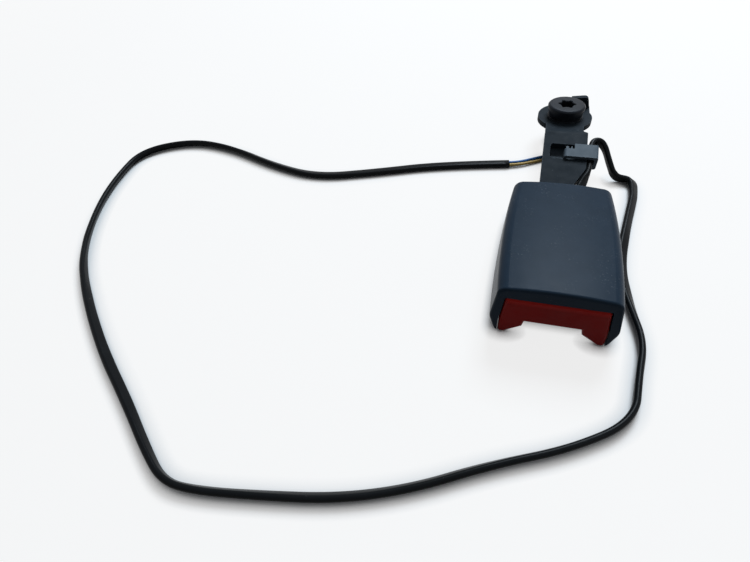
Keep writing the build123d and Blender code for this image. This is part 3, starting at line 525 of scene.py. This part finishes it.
# thread: one flank wound up the axis, past both ends, then cut to length
turns = math.ceil((bolt["threadTop"] - bolt["threadEnd"]) / bolt["pitch"]) + bolt["spareTurns"]
rise = bolt["pitch"] * milli
low = bolt["threadEnd"] * milli - rise
flank = [
    (bolt["root"], 0.0), (bolt["crest"], bolt["crestFrom"]),
    (bolt["crest"], bolt["crestTo"]), (bolt["root"], 1.0),
]
chain = [bm.verts.new((r * milli, 0, low + share * rise)) for r, share in flank]
links = [bm.edges.new(pair) for pair in zip(chain, chain[1:])]
bmesh.ops.spin(
    bm, geom=chain + links, cent=(0, 0, 0), axis=(0, 0, 1), dvec=(0, 0, rise / bolt["steps"]),
    angle=2 * math.pi * turns, steps=bolt["steps"] * turns, use_merge=False, use_duplicate=False,
)
threadVerts = connected(chain)
bmesh.ops.remove_doubles(bm, verts=threadVerts, dist=bolt["weld"])
for height, up in ((bolt["threadTop"], 1), (bolt["threadEnd"], -1)):
    faces = list({f for v in threadVerts if v.is_valid for f in v.link_faces})
    edges = list({e for f in faces for e in f.edges})
    verts = list({v for f in faces for v in f.verts})
    cut = bmesh.ops.bisect_plane(
        bm, geom=verts + edges + faces, plane_co=(0, 0, height * milli), plane_no=(0, 0, up),
        clear_outer=True,
    )["geom_cut"]
    rim = [g for g in cut if isinstance(g, bmesh.types.BMEdge)]
    if up < 0:  # the lower end tapers to the tip
        rim = ringTo(bm, rim, *bolt["tip"])
    bmesh.ops.edgeloop_fill(bm, edges=rim)
bmesh.ops.recalc_face_normals(bm, faces=bm.faces)
tilt = Vector((0, 0, 1)).rotation_difference(boltAxis).to_matrix().to_4x4()
bmesh.ops.transform(bm, matrix=Matrix.Translation(boltSeat) @ tilt, verts=bm.verts)
boltPiece = newPiece("anchorBolt", bm, finishes["boltBlack"], "bolt", crease=bolt["crease"])
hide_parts("anchor_bolt")
print("bolt cut:", len(boltPiece.data.polygons), "faces")

# Coil springs: closed end turns, open ones between
coil = {"sides": 12, "turnSteps": 28, "endTurns": 1, "crease": 50}
springs = {
    "buttonSprings": {
        "node": "button_springs", "joint": "button_press", "upright": False,
        "starts": [(-15.8, 2.9, 14.0), (15.8, 2.9, 14.0)], "anchor": (0, 24.0, 14.0), "keep": 0.725,
        "radius": 2.2, "wire": 0.7, "run": 20.4, "turns": 8,
    },
    "latchSpring": {
        "node": "latch_spring", "joint": "latch_lift", "upright": True,
        "starts": [(0, 33.0, 12.8)], "anchor": (0, 33.0, 21.6), "keep": 0.46,
        "radius": 2.6, "wire": 0.6, "run": 8.2, "turns": 6,
    },
    "ejectorSpring": {
        "node": "ejector_spring", "joint": "ejector_push", "upright": False,
        "starts": [(0, 33.6, 5.9)], "anchor": (0, 52.0, 5.9), "keep": 0.315,
        "radius": 1.6, "wire": 0.6, "run": 17.8, "turns": 8,
    },
}
for name, spring in springs.items():
    bm = bmesh.new()
    wire = spring["wire"] * milli
    openTurns = spring["turns"] - 2 * coil["endTurns"]
    openPitch = (spring["run"] * milli - 2 * coil["endTurns"] * wire) / openTurns
    windings = ((coil["endTurns"], wire), (openTurns, openPitch), (coil["endTurns"], wire))
    stand = Matrix.Rotation(math.radians(90 if spring["upright"] else 0), 4, "X")
    for start in spring["starts"]:
        ring = bmesh.ops.create_circle(bm, segments=coil["sides"], radius=wire / 2)["verts"]
        bmesh.ops.translate(bm, verts=ring, vec=(spring["radius"] * milli, 0, 0))
        ends = ring + list({e for v in ring for e in v.link_edges})
        for count, climb in windings:
            ends = bmesh.ops.spin(
                bm, geom=ends, cent=(0, 0, 0), axis=(0, 1, 0), dvec=(0, climb / coil["turnSteps"], 0),
                angle=2 * math.pi * count, steps=coil["turnSteps"] * count,
                use_merge=False, use_duplicate=False,
            )["geom_last"]
        bmesh.ops.transform(bm, matrix=Matrix.Translation(place(*start)) @ stand, verts=connected(ring))
    bmesh.ops.holes_fill(bm, edges=[e for e in bm.edges if e.is_boundary], sides=0)
    bmesh.ops.recalc_face_normals(bm, faces=bm.faces)
    springPiece = newPiece(name, bm, finishes["springSteel"], "housing", crease=coil["crease"])
    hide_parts(spring["node"])
    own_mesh(springPiece)
print("springs wound:", len(springs))

# Camera at the photo's viewpoint
viewpoint = {
    "place": (-24.544, -139.414, 186.648), "pitch": 48.379, "yaw": -18.745, "roll": -6.111,
    "lens": 26.102, "sensor": 36.0, "clipStart": 0.01,
}
pitch, yaw, roll = (math.radians(viewpoint[k]) for k in ("pitch", "yaw", "roll"))
forward = Vector((math.sin(yaw) * math.cos(pitch), math.cos(yaw) * math.cos(pitch), -math.sin(pitch)))
level = Vector((math.cos(yaw), -math.sin(yaw), 0))
upright = level.cross(forward)
right = level * math.cos(roll) + upright * math.sin(roll)
top = upright * math.cos(roll) - level * math.sin(roll)
cameraData = bpy.data.cameras.new("photoCamera")
cameraData.lens = viewpoint["lens"]
cameraData.sensor_width = viewpoint["sensor"]
cameraData.clip_start = viewpoint["clipStart"]
camera = bpy.data.objects.new("photoCamera", cameraData)
turned = Matrix((right, top, -forward)).transposed().to_4x4()
camera.matrix_world = Matrix.Translation(place(*viewpoint["place"])) @ turned
bpy.context.scene.collection.objects.link(camera)
bpy.context.scene.camera = camera
print("camera set")

# Pale floor, near white to the camera, that still takes the shadow
floorLook = {
    "size": 4.0, "drop": 0.00015, "roughness": 0.9, "seen": 0.8, "bounce": 0.25, "white": 0.82,
    "contact": 0.006, "contactSamples": 8, "covered": 0.45, "fadeFrom": 0.4, "fadeTo": 1.1,
}
bm = bmesh.new()
bmesh.ops.create_grid(bm, x_segments=1, y_segments=1, size=floorLook["size"])
bmesh.ops.translate(bm, verts=bm.verts, vec=(0, 0, -floorLook["drop"]))  # just clear of the housing's base
floorMesh = bpy.data.meshes.new("floor")
bm.to_mesh(floorMesh)
bm.free()
floor = bpy.data.objects.new("floor", floorMesh)
bpy.context.scene.collection.objects.link(floor)


def directRays(tree):  # 1 for camera, glossy and transmission rays
    path = tree.nodes.new("ShaderNodeLightPath")
    total = path.outputs["Is Camera Ray"]
    for name in ("Is Glossy Ray", "Is Transmission Ray"):
        node = tree.nodes.new("ShaderNodeMath")
        node.operation = "MAXIMUM"
        tree.links.new(total, node.inputs[0])
        tree.links.new(path.outputs[name], node.inputs[1])
        total = node.outputs[0]
    return total


floorPaper = bpy.data.materials.new("floorPaper")
floorPaper.use_nodes = True
tree = floorPaper.node_tree
paper = tree.nodes["Principled BSDF"]
paper.inputs["Roughness"].default_value = floorLook["roughness"]
paper.inputs["Specular IOR Level"].default_value = 0.0
tint = tree.nodes.new("ShaderNodeMapRange")
tint.inputs["To Min"].default_value = floorLook["bounce"]
tint.inputs["To Max"].default_value = floorLook["seen"]
tree.links.new(directRays(tree), tint.inputs["Value"])
tree.links.new(tint.outputs["Result"], paper.inputs["Base Color"])
# the white is full far away, so no horizon shows
reach = tree.nodes.new("ShaderNodeVectorMath")
reach.operation = "LENGTH"
tree.links.new(tree.nodes.new("ShaderNodeTexCoord").outputs["Object"], reach.inputs[0])
fade = tree.nodes.new("ShaderNodeMapRange")
fade.inputs["From Min"].default_value = floorLook["fadeFrom"]
fade.inputs["From Max"].default_value = floorLook["fadeTo"]
fade.inputs["To Min"].default_value = floorLook["white"]
tree.links.new(reach.outputs["Value"], fade.inputs["Value"])
# and the white fades by ambient occlusion where something stands close over the floor, a painted contact
# shadow; the paper's own lit shading shows there
near = tree.nodes.new("ShaderNodeAmbientOcclusion")
near.samples = floorLook["contactSamples"]
near.inputs["Distance"].default_value = floorLook["contact"]
clear = tree.nodes.new("ShaderNodeMapRange")
clear.inputs["From Min"].default_value = floorLook["covered"]
tree.links.new(near.outputs["AO"], clear.inputs["Value"])
tree.links.new(fade.outputs["Result"], clear.inputs["To Max"])
share = tree.nodes.new("ShaderNodeMath")
share.operation = "MULTIPLY"
tree.links.new(directRays(tree), share.inputs[0])
tree.links.new(clear.outputs[0], share.inputs[1])
glow = tree.nodes.new("ShaderNodeEmission")
glow.inputs["Color"].default_value = (1, 1, 1, 1)
blend = tree.nodes.new("ShaderNodeMixShader")
tree.links.new(share.outputs[0], blend.inputs["Fac"])
tree.links.new(paper.outputs["BSDF"], blend.inputs[1])
tree.links.new(glow.outputs["Emission"], blend.inputs[2])
tree.links.new(blend.outputs["Shader"], tree.nodes["Material Output"].inputs["Surface"])
floor.data.materials.append(floorPaper)

# Soft studio light, with a white backdrop
studio = {"ambientColour": (0.92, 0.96, 1.0), "ambient": 0.12, "backdrop": 1.0}
world = bpy.data.worlds.new("studio")
bpy.context.scene.world = world
world.use_nodes = True
tree = world.node_tree
ambient = tree.nodes["Background"]
ambient.inputs["Color"].default_value = (*studio["ambientColour"], 1)
ambient.inputs["Strength"].default_value = studio["ambient"]
backdrop = tree.nodes.new("ShaderNodeBackground")
backdrop.inputs["Color"].default_value = (1, 1, 1, 1)
backdrop.inputs["Strength"].default_value = studio["backdrop"]
blend = tree.nodes.new("ShaderNodeMixShader")
tree.links.new(directRays(tree), blend.inputs["Fac"])
tree.links.new(ambient.outputs["Background"], blend.inputs[1])
tree.links.new(backdrop.outputs["Background"], blend.inputs[2])
tree.links.new(blend.outputs["Shader"], tree.nodes["World Output"].inputs["Surface"])

lamps = {
    "rearPanel": {
        "from": (0.1, 0.67, 0.84), "to": (0, -0.03, 0),
        "size": 0.45, "power": 14.0, "colour": (0.80, 0.91, 1.0),
    },
    "sideFill": {
        "from": (0.9, -0.2, 0.5), "to": (0, 0, 0),
        "size": 0.7, "power": 0.8, "colour": (0.95, 0.98, 1.0),
    },
}
for name, lamp in lamps.items():
    light = bpy.data.lights.new(name, "AREA")
    light.size = lamp["size"]
    light.energy = lamp["power"]
    light.color = lamp["colour"]
    holder = bpy.data.objects.new(name, light)
    holder.location = lamp["from"]
    aim = Vector(lamp["to"]) - Vector(lamp["from"])
    holder.rotation_euler = aim.to_track_quat("-Z", "Y").to_euler()
    bpy.context.scene.collection.objects.link(holder)
bpy.context.scene.view_settings.view_transform = "Standard"
print("light set")
